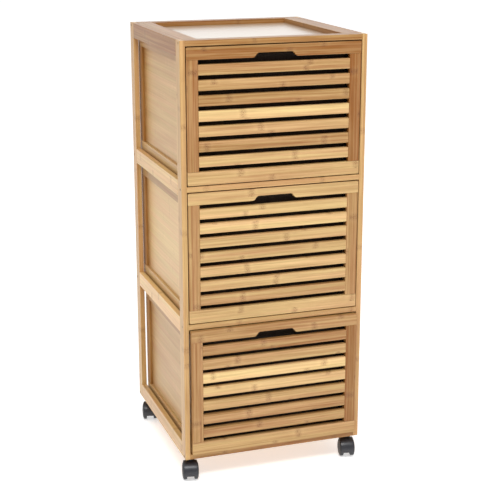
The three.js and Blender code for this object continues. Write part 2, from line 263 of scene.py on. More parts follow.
def finish_board(obj, body, nodes, direction, shade):
    soften(obj.data)
    set_grain(obj, direction, shade)
    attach(obj, body)
    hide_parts(*nodes)


def board(name, low, high, direction, body, nodes, slot, shade, edge=CABINET_EDGE, holes=(), radius=0.0):
    """A plain board with rounded edges, its grain along one axis, bored if it has holes."""
    bm = bmesh.new()
    add_box(bm, low, high)
    round_edges(bm, edge)
    obj = to_object(name, bm, materials[slot])
    if holes:
        drill(obj, holes, radius)
    finish_board(obj, body, nodes, direction, shade)


def drill(obj, holes, radius):
    """Cuts round holes of one radius, each given by its two end points."""
    bm = bmesh.new()
    for start, end in holes:
        axis = end - start
        turn = Vector((0, 0, 1)).rotation_difference(axis).to_matrix().to_4x4()
        place = Matrix.Translation((start + end) / 2) @ turn
        bmesh.ops.create_cone(
            bm, cap_ends=True, segments=24, radius1=radius, radius2=radius, depth=axis.length, matrix=place
        )
    cutter = to_object("cutter", bm, obj.data.materials[0])
    modifier = obj.modifiers.new("holes", "BOOLEAN")
    modifier.operation = "DIFFERENCE"
    modifier.solver = "EXACT"
    modifier.object = cutter
    apply_modifiers(obj)
    bpy.data.objects.remove(cutter)


def apply_modifiers(obj):
    """Makes the mesh what its modifiers show, and removes them."""
    graph = bpy.context.evaluated_depsgraph_get()
    made = bpy.data.meshes.new_from_object(obj.evaluated_get(graph))
    obj.modifiers.clear()
    plain = obj.data
    obj.data = made
    made.name = plain.name
    bpy.data.meshes.remove(plain)


# ---- Material helpers ----


def linear(red, green, blue):
    """A colour given as 0 to 255 screen values, as linear light."""
    channels = []
    for value in (red, green, blue):
        share = value / 255
        channels.append(share / 12.92 if share <= 0.04045 else ((share + 0.055) / 1.055) ** 2.4)
    return (*channels, 1.0)


class Graph:
    """Short names for building one material's nodes."""

    def __init__(self, name):
        self.material = bpy.data.materials.new(name)
        self.material.use_nodes = True
        self.tree = self.material.node_tree
        self.shader = self.tree.nodes["Principled BSDF"]

    def link(self, source, socket):
        self.tree.links.new(source, socket)

    def put(self, value, socket):
        if isinstance(value, bpy.types.NodeSocket):
            self.link(value, socket)
        else:
            socket.default_value = value

    def math(self, operation, a, b=0.0):
        node = self.tree.nodes.new("ShaderNodeMath")
        node.operation = operation
        self.put(a, node.inputs[0])
        self.put(b, node.inputs[1])
        return node.outputs[0]

    def attribute(self, name, output="Fac"):
        node = self.tree.nodes.new("ShaderNodeAttribute")
        node.attribute_name = name
        return node.outputs[output]

    def split(self, vector):
        node = self.tree.nodes.new("ShaderNodeSeparateXYZ")
        self.link(vector, node.inputs[0])
        return node.outputs

    def vector(self, x, y, z=0.0):
        node = self.tree.nodes.new("ShaderNodeCombineXYZ")
        for value, socket in zip((x, y, z), node.inputs):
            self.put(value, socket)
        return node.outputs[0]

    def stretch(self, vector, scale):
        node = self.tree.nodes.new("ShaderNodeVectorMath")
        node.operation = "MULTIPLY"
        self.link(vector, node.inputs[0])
        node.inputs[1].default_value = scale
        return node.outputs[0]

    def noise(self, vector, detail=2.0, roughness=0.5, scale=1.0):
        node = self.tree.nodes.new("ShaderNodeTexNoise")
        self.link(vector, node.inputs["Vector"])
        node.inputs["Scale"].default_value = scale
        node.inputs["Detail"].default_value = detail
        node.inputs["Roughness"].default_value = roughness
        return node.outputs["Fac"]

    def random(self, vector):
        node = self.tree.nodes.new("ShaderNodeTexWhiteNoise")
        node.noise_dimensions = "3D"
        self.link(vector, node.inputs["Vector"])
        return node.outputs["Value"]

    def ramp(self, value, low, high, low_out=0.0, high_out=1.0, smooth=True):
        node = self.tree.nodes.new("ShaderNodeMapRange")
        node.interpolation_type = "SMOOTHSTEP" if smooth else "LINEAR"
        node.clamp = True
        self.link(value, node.inputs["Value"])
        node.inputs["From Min"].default_value = low
        node.inputs["From Max"].default_value = high
        node.inputs["To Min"].default_value = low_out
        node.inputs["To Max"].default_value = high_out
        return node.outputs["Result"]

    def mix(self, factor, a, b, blend="MIX"):
        node = self.tree.nodes.new("ShaderNodeMix")
        node.data_type = "RGBA"
        node.blend_type = blend
        self.put(factor, node.inputs["Factor"])
        self.put(a, node.inputs[6])
        self.put(b, node.inputs[7])
        return node.outputs[2]

    def bump(self, height, distance, strength):
        node = self.tree.nodes.new("ShaderNodeBump")
        node.inputs["Distance"].default_value = distance
        node.inputs["Strength"].default_value = strength
        self.link(height, node.inputs["Height"])
        self.link(node.outputs["Normal"], self.shader.inputs["Normal"])

    def place(self):
        """Each point's place in the object's own coordinates."""
        return self.tree.nodes.new("ShaderNodeTexCoord").outputs["Object"]

    def stain(self, amount, colour, tint):
        """The colour, multiplied by the tint as far as amount says."""
        return self.mix(amount, colour, self.mix(1.0, colour, tint, "MULTIPLY"))

    def set(self, **sockets):
        """Sets the shader's inputs, each named in lower case with underscores."""
        for name, value in sockets.items():
            self.put(value, self.shader.inputs[name.replace("_", " ").title().replace("Ior", "IOR")])


# ---- Bamboo ----

SHADE_LOW = -0.15  # the ramp from deep to pale reaches past both
SHADE_HIGH = 1.6
SEAM_WIDTH = 0.6 * MM
SEAM_WANDER = 3 * MM
JOINT_SPACING = 270 * MM  # between the culm nodes along one strip
JOINT_REACH = 12.5 * MM  # how far a node's speckled band reaches each way
JOINT_RAGGED = 10 * MM
HALO_START = 6 * MM
HALO_END = 20 * MM
BUMP_HEIGHT = 0.2 * MM

# How often each pattern repeats in a metre: along, across and into the board.
RAGGED_PATTERN = (30, 60, 60)
SPECK_PATTERN = (420, 620, 620)
FIBRE_PATTERN = (14, 900, 900)
STRAND_PATTERN = (3.5, 230, 230)
CLOUD_PATTERN = (6, 34, 34)
DASH_PATTERN = (55, 2300, 2300)
LEAN_PATTERN = (3, 90, 90)

# How strongly each pattern changes the shade or the colour.
STRIP_WEIGHT = 0.16
CLOUD_WEIGHT = 0.35
STRAND_WEIGHT = 1.25
FIBRE_WEIGHT = 0.9
HALO_WEIGHT = 0.07
LEAN_WEIGHT = 0.7
DASH_WEIGHT = 0.22
SEAM_WEIGHT = 0.2

PINK_TINT = linear(255, 240, 234)
STRAW_TINT = linear(253, 255, 238)
DASH_TINT = linear(205, 172, 138)
NODE_TINT = linear(150, 104, 68)
SEAM_TINT = linear(190, 150, 110)


def strip_pattern(g, along, across, strip):
    """Where the glued strips lie: each one's own random tone and phase, and how near its seam is."""
    wander = g.noise(g.vector(g.math("MULTIPLY", along, 5), g.math("MULTIPLY", across, 9)), detail=1)
    place = g.math("ADD", across, g.math("MULTIPLY", wander, SEAM_WANDER))
    count = g.math("DIVIDE", place, strip)
    index = g.math("FLOOR", count)
    tone = g.random(g.vector(index, 3.7, 1.3))
    phase = g.random(g.vector(index, 9.1, 4.4))
    from_seam = g.math("MULTIPLY", g.math("PINGPONG", count, 0.5), strip)
    return tone, phase, g.ramp(from_seam, 0.0, SEAM_WIDTH, 1.0, 0.0)


def culm_nodes(g, grain, along, phase):
    """A soft, speckled band across a strip where the cane had a joint, and the paler wood beside it."""
    turns = g.math("FRACT", g.math("ADD", g.math("DIVIDE", along, JOINT_SPACING), phase))
    distance = g.math("MULTIPLY", g.math("SUBTRACT", turns, 0.5), JOINT_SPACING)
    ragged = g.math("SUBTRACT", g.noise(g.stretch(grain, RAGGED_PATTERN), detail=1), 0.5)
    bent = g.math("ADD", distance, g.math("MULTIPLY", ragged, JOINT_RAGGED))
    reach = g.math("ABSOLUTE", bent)
    core = g.ramp(reach, 0.0, JOINT_REACH, 1.0, 0.0)
    specks = g.ramp(g.noise(g.stretch(grain, SPECK_PATTERN), detail=3, roughness=0.7), 0.45, 0.66)
    mark = g.math("MULTIPLY", core, g.math("ADD", g.math("MULTIPLY", specks, 0.75), 0.25))
    return mark, g.ramp(reach, HALO_START, HALO_END, 1.0, 0.0)


def bamboo(name, deep, pale, strip, node_strength, streaks, gloss=0.12):
    """Strips glued side by side, with fibres, vascular dashes and culm nodes, under a satin lacquer.

    deep and pale are the colours at shade 0 and 1, strip is the width of one strip in metres,
    node_strength is how dark the culm nodes are, streaks how much the fibres vary, and gloss the lacquer.
    """
    g = Graph(name)
    grain = g.attribute("grain", "Vector")
    along, across, _ = g.split(grain)
    tone, phase, seam = strip_pattern(g, along, across, strip)
    node_mark, halo = culm_nodes(g, grain, along, phase)

    fibre = g.noise(g.stretch(grain, FIBRE_PATTERN), detail=3, roughness=0.6)
    strand = g.noise(g.stretch(grain, STRAND_PATTERN), detail=3)
    cloud = g.noise(g.stretch(grain, CLOUD_PATTERN), detail=2)
    dash = g.ramp(g.noise(g.stretch(grain, DASH_PATTERN), detail=1), 0.62, 0.74)

    shade = g.attribute("shade")
    for pattern, weight in (
        (tone, STRIP_WEIGHT),
        (cloud, CLOUD_WEIGHT),
        (strand, STRAND_WEIGHT * streaks),
        (fibre, FIBRE_WEIGHT * streaks),
    ):
        shade = g.math("ADD", shade, g.math("MULTIPLY", g.math("SUBTRACT", pattern, 0.5), weight))
    shade = g.math("ADD", shade, g.math("MULTIPLY", halo, HALO_WEIGHT))
    place = g.ramp(shade, SHADE_LOW, SHADE_HIGH, smooth=False)
    colour = g.mix(place, extend(deep, pale, SHADE_LOW), extend(deep, pale, SHADE_HIGH))

    # Some strands lean to pink and some to straw.
    lean = g.ramp(g.noise(g.stretch(grain, LEAN_PATTERN), detail=1), 0.3, 0.7)
    colour = g.stain(LEAN_WEIGHT, colour, g.mix(lean, PINK_TINT, STRAW_TINT))
    colour = g.stain(g.math("MULTIPLY", dash, DASH_WEIGHT), colour, DASH_TINT)
    colour = g.stain(g.math("MULTIPLY", node_mark, node_strength), colour, NODE_TINT)
    colour = g.stain(g.math("MULTIPLY", seam, SEAM_WEIGHT), colour, SEAM_TINT)

    rough = g.math("ADD", g.math("MULTIPLY", fibre, 0.16), 0.3)
    relief = g.math("SUBTRACT", fibre, g.math("MULTIPLY", seam, 0.6))
    relief = g.math("SUBTRACT", relief, g.math("MULTIPLY", node_mark, 0.5))
    g.bump(relief, BUMP_HEIGHT, 0.3)
    g.set(
        base_color=colour, roughness=rough, specular_ior_level=0.35, coat_weight=gloss, coat_roughness=0.2
    )
    return g.material


def extend(deep, pale, share):
    """The colour that far from deep towards pale, which may pass either."""
    return tuple(max(0.0, a + (b - a) * share) for a, b in zip(deep[:3], pale[:3])) + (1.0,)


# ---- The other materials ----

WEAVE_PITCH = 1.1 * MM
TWIST_PITCH = 0.9 * MM


def fabric(name):
    """Charcoal polyester in a plain weave, on metres of cloth across and up."""
    g = Graph(name)
    cloth = g.attribute("cloth", "Vector")
    across, up, _ = g.split(cloth)
    frequency = 2 * math.pi / WEAVE_PITCH
    warp = g.math("SINE", g.math("MULTIPLY", across, frequency))
    weft = g.math("SINE", g.math("MULTIPLY", up, frequency))
    weave = g.math("MULTIPLY", warp, weft)
    slub = g.noise(g.stretch(cloth, (260, 30, 1)), detail=2)
    cloud = g.noise(g.stretch(cloth, (14, 14, 1)), detail=3)
    light = g.math("ADD", g.math("MULTIPLY", weave, 0.12), g.math("MULTIPLY", slub, 0.5))
    light = g.math("ADD", light, g.math("MULTIPLY", cloud, 0.4))
    g.bump(weave, 0.0003, 0.6)
    g.set(
        base_color=g.mix(g.ramp(light, 0.1, 0.9), linear(46, 35, 27), linear(76, 64, 54)),
        roughness=0.92,
        sheen_weight=0.35,
        sheen_roughness=0.4,
    )
    return g.material


def thread(name):
    """Grey polyester sewing thread, twisted."""
    g = Graph(name)
    across, up, _ = g.split(g.attribute("cloth", "Vector"))
    frequency = 2 * math.pi / TWIST_PITCH
    twist = g.math("SINE", g.math("MULTIPLY", g.math("ADD", across, up), frequency))
    g.bump(twist, 0.0001, 0.5)
    colour = g.mix(g.ramp(twist, -1.0, 1.0), linear(92, 88, 84), linear(128, 123, 117))
    g.set(base_color=colour, roughness=0.7)
    return g.material


def nylon(name, dark, light, roughness, texture):
    """Moulded nylon: a fine spark texture and faint cloudy sheen."""
    g = Graph(name)
    coordinates = g.place()
    spark = g.noise(coordinates, detail=3, scale=2600)
    cloud = g.noise(coordinates, detail=2, scale=90)
    rough = g.math("MULTIPLY_ADD", cloud, 0.14)
    rough.node.inputs[2].default_value = roughness - 0.07
    g.bump(spark, 0.00008, texture)
    g.set(base_color=g.mix(cloud, dark, light), roughness=rough)
    return g.material


def steel(name):
    """Zinc-plated steel, darkened and finely scratched."""
    g = Graph(name)
    coordinates = g.place()
    scratch = g.noise(g.stretch(coordinates, (900, 5200, 900)), detail=3)
    cloud = g.noise(coordinates, detail=2, scale=400)
    g.bump(scratch, 0.00004, 0.4)
    g.set(
        base_color=g.mix(cloud, linear(88, 82, 76), linear(140, 134, 126)),
        roughness=g.ramp(scratch, 0.2, 0.8, 0.28, 0.5),
        metallic=1.0,
    )
    return g.material


def floor_material():
    """White acrylic, lit a little from below, which keeps the shadows soft."""
    g = Graph("studio_floor")
    coordinates = g.place()
    cloud = g.noise(coordinates, detail=2, scale=1.2)
    g.set(
        base_color=g.mix(cloud, linear(244, 244, 244), linear(248, 248, 248)),
        roughness=0.8,
        emission_color=(1.0, 1.0, 1.0, 1.0),
        emission_strength=FLOOR_GLOW,
    )
    return g.material


materials = {
    "cabinet_bamboo": bamboo(
        "cabinet_bamboo",
        deep=linear(158, 112, 62),
        pale=linear(226, 189, 133),
        strip=0.0195,
        node_strength=0.6,
        streaks=0.8,
    ),
    "drawer_front_bamboo": bamboo(
        "drawer_front_bamboo",
        deep=linear(154, 109, 60),
        pale=linear(229, 197, 142),
        strip=0.021,
        node_strength=0.8,
        streaks=0.75,
    ),
    "panel_bamboo": bamboo(
        "panel_bamboo",
        deep=linear(158, 112, 58),
        pale=linear(212, 177, 124),
        strip=0.016,
        node_strength=0.2,
        streaks=0.5,
    ),
    "tray_bamboo": bamboo(
        "tray_bamboo",
        deep=linear(172, 148, 126),
        pale=linear(206, 190, 172),
        strip=0.016,
        node_strength=0.1,
        streaks=0.4,
        gloss=1.0,
    ),
    "liner_fabric": fabric("liner_fabric"),
    "liner_thread": thread("liner_thread"),
    "caster_plastic": nylon(
        "caster_plastic", linear(38, 38, 43), linear(52, 52, 58), roughness=0.34, texture=0.25
    ),
    "wheel_plastic": nylon(
        "wheel_plastic", linear(28, 28, 31), linear(40, 40, 44), roughness=0.45, texture=0.4
    ),
    "screw_steel": steel("screw_steel"),
}


# ---- Cabinet ----

PANEL_EDGE = 0.2 * MM


def cabinet_board(node, direction, shade, low=None, high=None, suffix="board", holes=(), radius=0.0):
    """A cabinet board that fills its CAD node's box, or the part of it between low and high."""
    node_low, node_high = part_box(node)
    board(
        f"{node}_{suffix}",
        low or node_low,
        high or node_high,
        direction,
        "cabinet",
        [node],
        "cabinet_bamboo",
        shade,
        holes=holes,
        radius=radius,
    )


def screw_places(end, side):
    """Each screw's place on a stile's outer face, one at each crossbar's end."""
    low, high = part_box(f"{end}_{side}_stile")
    outer = low.x if side == "left" else high.x
    y = low.y + SCREW_FROM_EDGE if end == "front" else high.y - SCREW_FROM_EDGE
    for level in LEVELS:
        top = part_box(f"{end}_{level}_crossbar")[1].z
        yield Vector((outer, y, top - CROSSBAR_HEIGHT / 2))


def screw_heads(end, side):
    """The four countersunk heads in one stile, each with a cross recess."""
    outward = -1 if side == "left" else 1
    bm = bmesh.new()
    rng = random.Random(f"{end} {side} screws")
    for place in screw_places(end, side):
        angle = rng.uniform(0, math.pi)
        turns = circle(32)
        rings = []
        for radius, depth in SCREW_HEAD_PROFILE:
            rings.append([head_point(place, outward, radius, depth, turn + angle) for turn in turns])
        for depth in CROSS_DEPTHS:
            ring = [head_point(place, outward, cross_radius(turn), depth, turn + angle) for turn in turns]
            rings.append(ring)
        add_rings(bm, rings)
    obj = to_object(f"{end}_{side}_stile_screws", bm, materials["screw_steel"])
    soften(obj.data)
    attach(obj, "cabinet")


def cross_radius(turn):
    """The radius of a cross-shaped recess, four rounded arms, as a share of the head's radius."""
    return 0.16 + 0.26 * abs(math.cos(2 * turn)) ** 3


def head_point(place, outward, radius, depth, turn):
    """A point of a screw's head, from its radius as a share of the head's and its depth in millimetres."""
    reach = SCREW_HEAD_RADIUS * radius
    return (
        place.x - outward * depth * MM,
        place.y + reach * math.cos(turn),
        place.z + reach * math.sin(turn),
    )


def make_stiles():
    for end in ENDS:
        for side in SIDES:
            inward = 1 if side == "left" else -1
            holes = []
            for place in screw_places(end, side):
                start = place - Vector((inward * MM, 0, 0))
                stop = place + Vector((inward * SCREW_HOLE_DEPTH, 0, 0))
                holes.append((start, stop))
            cabinet_board(f"{end}_{side}_stile", Z, STILE_SHADE, holes=holes, radius=SCREW_HOLE_RADIUS)
            screw_heads(end, side)


def make_rails():
    for side in SIDES:
        for level in LEVELS:
            cabinet_board(f"{side}_{level}_rail", Y, SIDE_RAIL_SHADES[level])


def make_crossbars():
    for level in LEVELS:
        for end in ENDS:
            node = f"{end}_{level}_crossbar"
            shade = CROSSBAR_SHADES[level]
            low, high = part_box(node)
            if level == "bottom":
                holes = stem_bores(end, low.z, high.z)
                cabinet_board(node, X, shade, holes=holes, radius=STEM_BORE_RADIUS)
                continue
            flat_low = Vector((low.x, low.y, high.z - CROSSBAR_HEIGHT))
            cabinet_board(node, X, shade, low=flat_low)
            if end == "front":
                lip_low = Vector((low.x, high.y - LIP_DEPTH, low.z))
                lip_high = Vector((high.x, high.y, low.z + LIP_HEIGHT))
                cabinet_board(node, X, shade, low=lip_low, high=lip_high, suffix="lip")


def stem_bores(end, bottom, top):
    """The holes for the caster stems, through one of the bottom crossbars."""
    holes = []
    for side in SIDES:
        centre = caster_axis(f"{end}_{side}_caster")
        start = Vector((centre.x, centre.y, bottom - MM))
        stop = Vector((centre.x, centre.y, top + MM))
        holes.append((start, stop))
    return holes


def make_top():
    for side in SIDES:
        cabinet_board(f"top_{side}_board", Y, TOP_BOARD_SHADE)
    low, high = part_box("top_panel")
    shelf = high.z - PANEL_FIELD_RISE
    bm = bmesh.new()
    rings = []
    for x_in, y_in, z in (
        (0, 0, low.z),
        (0, 0, shelf),
        (PANEL_EDGE_WIDTH, PANEL_EDGE_DEPTH, shelf),
        (PANEL_EDGE_WIDTH, PANEL_EDGE_DEPTH, high.z),
    ):
        rings.append(rectangle(low, high, x_in, y_in, z))
    add_rings(bm, rings)
    round_edges(bm, PANEL_EDGE, segments=1)
    obj = to_object("top_panel_board", bm, materials["tray_bamboo"])
    finish_board(obj, "cabinet", ["top_panel"], X, TOP_PANEL_SHADE)


def rectangle(low, high, x_in, y_in, z):
    """The box's outline at height z, moved in."""
    return [
        (low.x + x_in, low.y + y_in, z),
        (high.x - x_in, low.y + y_in, z),
        (high.x - x_in, high.y - y_in, z),
        (low.x + x_in, high.y - y_in, z),
    ]


def make_runners():
    for drawer in DRAWERS:
        for side in SIDES:
            cabinet_board(f"{drawer}_{side}_runner", Y, RUNNER_SHADE)


# ---- Drawers ----


def outlined_board(drawer, part, node, corners, front, back, shade):
    """A board of a drawer front, cut to an outline with rounded corners, its grain across the front."""
    bm = bmesh.new()
    add_slab(bm, rounded(corners), front, back)
    round_edges(bm, FRONT_EDGE)
    obj = to_object(f"{drawer}_{part}_board", bm, materials["drawer_front_bamboo"])
    finish_board(obj, drawer, [node], X, shade)


def plain_board(drawer, part, low, high, direction, shade):
    """A stile or slat of a drawer front."""
    name = f"{drawer}_{part}_board"
    nodes = [f"{drawer}_slat_panel"]
    board(name, low, high, direction, drawer, nodes, "drawer_front_bamboo", shade, FRONT_EDGE)


def make_front(drawer):
    low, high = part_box(f"{drawer}_slat_panel")
    front, back = low.y, high.y
    make_top_rail(drawer, front, back)

    # The bottom rail runs the whole width, and the stiles stand on it.
    bottom_top = high.z - SLATS * (SLAT + SLOT) - SLOT
    corners = [
        (low.x, low.z, FRONT_CORNER),
        (high.x, low.z, FRONT_CORNER),
        (high.x, bottom_top, 0),
        (low.x, bottom_top, 0),
    ]
    shade = BOTTOM_RAIL_SHADES[drawer]
    outlined_board(drawer, "bottom_rail", f"{drawer}_slat_panel", corners, front, back, shade)
    for side in SIDES:
        left = low.x if side == "left" else high.x - FRONT_STILE
        start = (left, front, bottom_top)
        end = (left + FRONT_STILE, back, high.z)
        plain_board(drawer, f"{side}_front_stile", start, end, Z, FRONT_STILE_SHADES[drawer][side])
    for i, shade in enumerate(SLAT_SHADES[drawer]):
        top = high.z - SLOT - i * (SLAT + SLOT)
        start = (low.x + FRONT_STILE, front, top - SLAT)
        end = (high.x - FRONT_STILE, back, top)
        plain_board(drawer, f"slat_{i + 1}", start, end, X, shade)


def make_top_rail(drawer, front, back):
    """The top rail, with the hand hole cut into its lower edge."""
    node = f"{drawer}_front_top_rail"
    low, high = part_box(node)
    middle = (low.x + high.x) / 2
    mouth = HAND_HOLE_MOUTH / 2
    crown = HAND_HOLE_TOP / 2
    hole_top = low.z + HAND_HOLE_HEIGHT
    corners = [
        (low.x, low.z, 0),
        (middle - mouth, low.z, HAND_HOLE_ROUNDING),
        (middle - crown, hole_top, HAND_HOLE_ROUNDING),
        (middle + crown, hole_top, HAND_HOLE_ROUNDING),
        (middle + mouth, low.z, HAND_HOLE_ROUNDING),
        (high.x, low.z, 0),
        (high.x, high.z, FRONT_CORNER),
        (low.x, high.z, FRONT_CORNER),
    ]
    outlined_board(drawer, "top_rail", node, corners, front, back, TOP_RAIL_SHADES[drawer])


def make_side(drawer, side):
    """A frame of four strips around a panel, recessed on the outer face."""
    node = f"{drawer}_{side}_side"
    low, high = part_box(node)
    parts = {
        "top_strip": ((low.y, high.z - BOX_STRIP), (high.y, high.z), Y),
        "bottom_strip": ((low.y, low.z), (high.y, low.z + BOX_STRIP), Y),
        "front_strip": ((low.y, low.z + BOX_STRIP), (low.y + BOX_STRIP, high.z - BOX_STRIP), Z),
        "rear_strip": ((high.y - BOX_STRIP, low.z + BOX_STRIP), (high.y, high.z - BOX_STRIP), Z),
    }
    for part, (start, end, direction) in parts.items():
        board(
            f"{node}_{part}",
            (low.x, start[0], start[1]),
            (high.x, end[0], end[1]),
            direction,
            drawer,
            [node],
            "panel_bamboo",
            STRIP_SHADES_WITH_PAINTED_LIGHT[part],
            BOX_EDGE,
        )
    panel_low = Vector((low.x, low.y + BOX_STRIP, low.z + BOX_STRIP))
    panel_high = Vector((high.x, high.y - BOX_STRIP, high.z - BOX_STRIP))
    if side == "left":
        panel_low.x += BOX_RECESS
    else:
        panel_high.x -= BOX_RECESS
    make_side_panel(f"{node}_panel", panel_low, panel_high, drawer, node)


def make_side_panel(name, low, high, drawer, node):
    """A thin panel, darker towards its rear end by the rear stile as painted shade: its shade fades along the
    grain.
    """
    pale = SIDE_PANEL_SHADES[drawer]
    stations = [(low.y, pale)] + [(high.y - reach, pale * share) for reach, share in reversed(REAR_PAINTED_SHADE)]
    section = ((low.x, low.z), (high.x, low.z), (high.x, high.z), (low.x, high.z))
    bm = bmesh.new()
    add_rings(bm, [[(x, y, z) for x, z in section] for y, _ in stations])
    obj = to_object(name, bm, materials["panel_bamboo"])
    finish_board(obj, drawer, [node], Y, pale)
    # Painted shade: each point's shade is lowered towards the panel's rear end.
    for vertex, value in zip(obj.data.vertices, obj.data.attributes["shade"].data):
        value.value = min(shade for y, shade in stations if abs(y - vertex.co.y) < MM)


def make_box(drawer):
    for side in SIDES:
        make_side(drawer, side)
    for part in ("back", "bottom"):
        node = f"{drawer}_{part}"
        low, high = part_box(node)
        board(f"{node}_board", low, high, X, drawer, [node], "panel_bamboo", BOX_SHADE, BOX_EDGE)


# ---- Liners ----

LINER_CORNER = 12 * MM
LINER_LEVELS = 30
WALL_STEPS = 34
CORNER_STEPS = 5
CLOTH = 1.1 * MM
SLACK = 7 * MM  # how far the walls belly in
DROOP = 6 * MM  # how far the rim sags between the corners
HEM = 26 * MM
RIM_INSET = 1.2 * MM
FLOOR_LIFT = 1.2 * MM
FLOOR_RUMPLE = 5 * MM
FLOOR_RINGS = (0.9, 0.78, 0.65, 0.5, 0.36, 0.23, 0.1)
FLOOR_TOP = 8 * MM  # below this the cloth is the bag's floor
HEM_SECTION = (  # how far inside the bag's edge, and how far below it
    (1.3 * MM, HEM),
    (2.5 * MM, HEM - 1 * MM),
    (2.2 * MM, HEM * 0.8),
    (2.6 * MM, HEM * 0.5),
    (2.4 * MM, 2 * MM),
    (1.6 * MM, -0.2 * MM),
    (0.6 * MM, -0.4 * MM),
    (-0.2 * MM, 0.6 * MM),
    (-0.35 * MM, HEM * 0.5),
    (-0.2 * MM, HEM),
)
STITCH_INSET = 2.5 * MM
STITCH_DROP = HEM - 4 * MM
STITCH = 4 * MM
STITCH_GAP = 1.6 * MM
STITCH_HALF = 0.35 * MM  # half the thread's thickness
STITCH_RISE = ((0.0, -1.0), (0.25, 0.6), (0.5, 1.0), (0.75, 0.6), (1.0, -1.0))


def liner_outline(low, high):
    """Points round the bag: x, y, the way out, how far from the corners (0 to 1), and the way along."""
    inner_low = Vector((low.x + LINER_CORNER, low.y + LINER_CORNER))
    inner_high = Vector((high.x - LINER_CORNER, high.y - LINER_CORNER))
    corners = (
        (Vector((inner_high.x, inner_low.y)), -90),
        (Vector((inner_high.x, inner_high.y)), 0),
        (Vector((inner_low.x, inner_high.y)), 90),
        (Vector((inner_low.x, inner_low.y)), 180),
    )
    points = []
    along = 0.0
    for i, (centre, start) in enumerate(corners):
        for step in range(CORNER_STEPS + 1):
            angle = math.radians(start + 90 * step / CORNER_STEPS)
            out = Vector((math.cos(angle), math.sin(angle)))
            points.append((centre + out * LINER_CORNER, out, 0.0, along))
            along += LINER_CORNER * math.radians(90) / CORNER_STEPS
        begin = centre + out * LINER_CORNER
        end = corners[(i + 1) % 4][0] + out * LINER_CORNER
        for step in range(1, WALL_STEPS):
            t = step / WALL_STEPS
            points.append((begin.lerp(end, t), out, math.sin(math.pi * t), along + (end - begin).length * t))
        along += (end - begin).length
    return points


def liner_wall(low, high, seed):
    """The bag's wall, level by level: it bellies in, folds below the rim, and sags between corners."""
    floor = low.z + FLOOR_LIFT
    outline = liner_outline(low, high)
    levels = []
    for level in range(LINER_LEVELS + 1):
        up = level / LINER_LEVELS
        z = floor + (high.z - floor) * up
        belly = SLACK * math.sin(math.pi * min(1.0, up * 1.04)) ** 0.8
        ring = []
        for place, out, middle, along in outline:
            rumple = noise.noise(Vector((along * 7 + seed, z * 9, 0))) * 0.6
            fold = noise.noise(Vector((along * 34 + seed, z * 4, 3))) * 0.4
            crease = (1 - abs(noise.noise(Vector((along * 16 - z * 11, z * 15 + seed, 5))))) ** 9 * 0.3
            pull = middle**0.7 * belly * (0.55 + rumple + fold * up + crease)
            pull = max(pull, 0.0) + RIM_INSET * up * middle**0.5
            point = place - out * pull
            ring.append(Vector((point.x, point.y, z - DROOP * middle**1.5 * up**3)))
        levels.append(ring)
    return levels


def liner_floor(rim, low, seed):
    """Rings that shrink from the wall to the middle of the floor, with soft rumples."""
    centre = sum(rim, Vector()) / len(rim)
    rings = []
    for share in FLOOR_RINGS:
        ring = []
        for point in rim:
            spot = centre + (point - centre) * share
            rumple = noise.noise(Vector((spot.x * 14 + seed, spot.y * 14, 0)))
            spot.z = low.z + FLOOR_LIFT + max(0.0, rumple) * FLOOR_RUMPLE * (1 - share)
            ring.append(spot)
        rings.append(ring)
    return rings


def make_liner(drawer):
    """A sewn bag that hangs from its hem, with its walls bellying inwards and its floor on the board."""
    node = f"{drawer}_liner"
    low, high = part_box(node)
    seed = DRAWERS.index(drawer) * 17.3
    wall = liner_wall(low, high, seed)
    floor = liner_floor(wall[0], low, seed)
    bm = bmesh.new()
    loops = skin(bm, floor[::-1] + wall)
    bm.faces.new(loops[0][::-1])
    bag = to_object(f"{drawer}_liner_bag", bm, materials["liner_fabric"])
    set_cloth(bag, low, high)
    solid = bag.modifiers.new("cloth_thickness", "SOLIDIFY")
    solid.thickness = CLOTH
    solid.offset = -1
    soft = bag.modifiers.new("soft", "SUBSURF")
    soft.levels = soft.render_levels = 1
    soft.use_limit_surface = False  # the limit surface is very slow at the floor's many-sided middle face
    apply_modifiers(bag)
    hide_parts(node)
    hem = hem_band(drawer, wall, low, high)
    stitches = stitch_row(drawer, wall, low, high)
    for piece in (bag, hem, stitches):
        piece.data.polygons.foreach_set("use_smooth", [True] * len(piece.data.polygons))
        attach(piece, drawer)


def moved_in(ring, middle, inset, drop):
    """The ring moved towards the bag's middle, in x and in y apart, and down."""
    moved = []
    for point in ring:
        x = point.x - math.copysign(inset, point.x - middle.x)
        y = point.y - math.copysign(inset, point.y - middle.y)
        moved.append(Vector((x, y, point.z - drop)))
    return moved


def hem_band(drawer, wall, low, high):
    """The folded hem: a second layer inside the bag's top edge, with its rolled edge over the rim."""
    middle = (low + high) / 2
    bm = bmesh.new()
    skin(bm, [moved_in(wall[-1], middle, inset, drop) for inset, drop in HEM_SECTION], join_ends=True)
    hem = to_object(f"{drawer}_liner_hem", bm, materials["liner_fabric"])
    set_cloth(hem, low, high)
    return hem


def stitch_row(drawer, wall, low, high):
    """The row of stitches that holds the hem, each a short raised thread."""
    ring = moved_in(wall[-1], (low + high) / 2, STITCH_INSET, STITCH_DROP)
    bm = bmesh.new()
    left_over = 0.0
    for start, end in zip(ring, ring[1:] + ring[:1]):
        step = end - start
        span = step.length
        if span < 0.1 * MM:
            continue
        along = step / span
        inward = Vector((-along.y, along.x, 0)).normalized()
        reach = left_over
        while reach + STITCH < span:
            first = start + along * reach
            add_stitch(bm, first, first + along * STITCH, inward * STITCH_HALF)
            reach += STITCH + STITCH_GAP
        left_over = max(0.0, reach - span)
    stitches = to_object(f"{drawer}_liner_stitches", bm, materials["liner_thread"])
    set_cloth(stitches, low, high)
    return stitches


